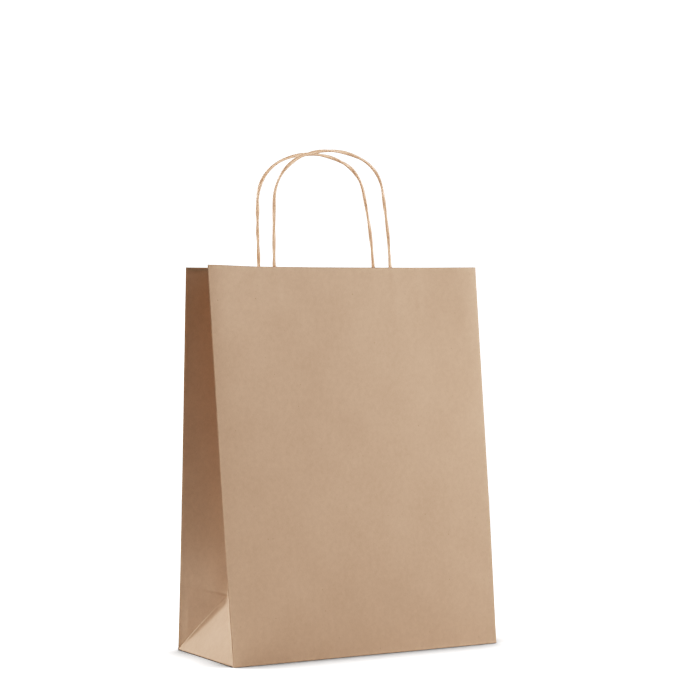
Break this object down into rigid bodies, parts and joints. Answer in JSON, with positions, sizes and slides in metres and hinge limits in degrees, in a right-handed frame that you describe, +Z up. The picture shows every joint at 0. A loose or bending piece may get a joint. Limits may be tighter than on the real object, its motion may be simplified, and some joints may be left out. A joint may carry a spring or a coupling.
{
  "type": "gift bag",
  "caption": "Plain kraft paper gift bag with folded side gussets, a block bottom and loop handles of twisted paper cord; the mouth opens and the handles swing.",
  "frame": {"origin": "centre of the rest face, under the middle of the bottom", "axes": "+X along the width, +Y from front to back, +Z up"},
  "size_m": [0.2514, 0.11, 0.417],
  "materials": {
    "kraft_outside": "uncoated brown kraft paper, matt, fine fibres and flecks",
    "kraft_inside": "uncoated brown kraft paper, the rougher inner side",
    "paper_cord": "twisted kraft paper cord with a spiral seam"
  },
  "bodies": {
    "base": {"back_bottom_flap": "kraft_outside", "front_bottom_flap": "kraft_outside", "left_end_flap": "kraft_inside", "right_end_flap": "kraft_inside"},
    "front_wall": {"front_panel": "kraft_outside", "front_patch_outer": "kraft_inside", "front_patch_inner": "kraft_inside", "front_handle_ends": "paper_cord"},
    "back_wall": {"back_panel": "kraft_outside", "side_seam_flap": "kraft_inside", "back_patch_outer": "kraft_inside", "back_patch_inner": "kraft_inside", "back_handle_ends": "paper_cord"},
    "left_gusset_front": {"left_gusset_front": "kraft_outside"},
    "left_gusset_back": {"left_gusset_back": "kraft_outside"},
    "right_gusset_front": {"right_gusset_front": "kraft_outside"},
    "right_gusset_back": {"right_gusset_back": "kraft_outside"},
    "left_base_triangle": {"left_base_triangle": "kraft_outside"},
    "right_base_triangle": {"right_base_triangle": "kraft_outside"},
    "front_handle": {"front_handle_loop": "paper_cord"},
    "back_handle": {"back_handle_loop": "paper_cord"}
  },
  "joints": [
    {"name": "front_wall_tilt", "type": "hinge", "parent": "base", "child": "front_wall", "pos_m": [0, -0.055, 0.00051], "axis": [1, 0, 0], "range_deg": [-1.8, 3.4]},
    {"name": "back_wall_tilt", "type": "hinge", "parent": "base", "child": "back_wall", "pos_m": [0, 0.055, 0.00051], "axis": [-1, 0, 0], "range_deg": [-1.8, 3.4]},
    {"name": "left_gusset_front_fold", "type": "hinge", "parent": "front_wall", "child": "left_gusset_front", "pos_m": [-0.1225, -0.055, 0.00051], "axis": [-0.0109, 0.1031, 0.9946], "range_deg": [-12.11, 22.83]},
    {"name": "left_gusset_back_fold", "type": "hinge", "parent": "back_wall", "child": "left_gusset_back", "pos_m": [-0.1225, 0.055, 0.00051], "axis": [0.0109, 0.1031, -0.9946], "range_deg": [-12.11, 22.83]},
    {"name": "left_base_triangle_tilt", "type": "hinge", "parent": "base", "child": "left_base_triangle", "pos_m": [-0.1225, 0, 0.00051], "axis": [0, -1, 0], "range_deg": [-4.28, 8.04]},
    {"name": "right_gusset_front_fold", "type": "hinge", "parent": "front_wall", "child": "right_gusset_front", "pos_m": [0.1225, -0.055, 0.00051], "axis": [-0.0109, -0.1031, -0.9946], "range_deg": [-12.11, 22.83]},
    {"name": "right_gusset_back_fold", "type": "hinge", "parent": "back_wall", "child": "right_gusset_back", "pos_m": [0.1225, 0.055, 0.00051], "axis": [0.0109, -0.1031, 0.9946], "range_deg": [-12.11, 22.83]},
    {"name": "right_base_triangle_tilt", "type": "hinge", "parent": "base", "child": "right_base_triangle", "pos_m": [0.1225, 0, 0.00051], "axis": [0, 1, 0], "range_deg": [-4.28, 8.04]},
    {"name": "front_handle_swing", "type": "hinge", "parent": "front_wall", "child": "front_handle", "pos_m": [0, -0.0146, 0.32055], "axis": [1, 0, 0], "range_deg": [-1, 90]},
    {"name": "back_handle_swing", "type": "hinge", "parent": "back_wall", "child": "back_handle", "pos_m": [0, 0.0146, 0.32055], "axis": [-1, 0, 0], "range_deg": [-1, 90]}
  ],
  "couplings": [
    {"joint": "back_wall_tilt", "follows": "front_wall_tilt", "ratio": 1},
    {"joint": "left_gusset_front_fold", "follows": "front_wall_tilt", "ratio": 6.7},
    {"joint": "left_gusset_back_fold", "follows": "front_wall_tilt", "ratio": 6.7},
    {"joint": "left_base_triangle_tilt", "follows": "front_wall_tilt", "ratio": 2.35},
    {"joint": "right_gusset_front_fold", "follows": "front_wall_tilt", "ratio": 6.7},
    {"joint": "right_gusset_back_fold", "follows": "front_wall_tilt", "ratio": 6.7},
    {"joint": "right_base_triangle_tilt", "follows": "front_wall_tilt", "ratio": 2.35}
  ]
}
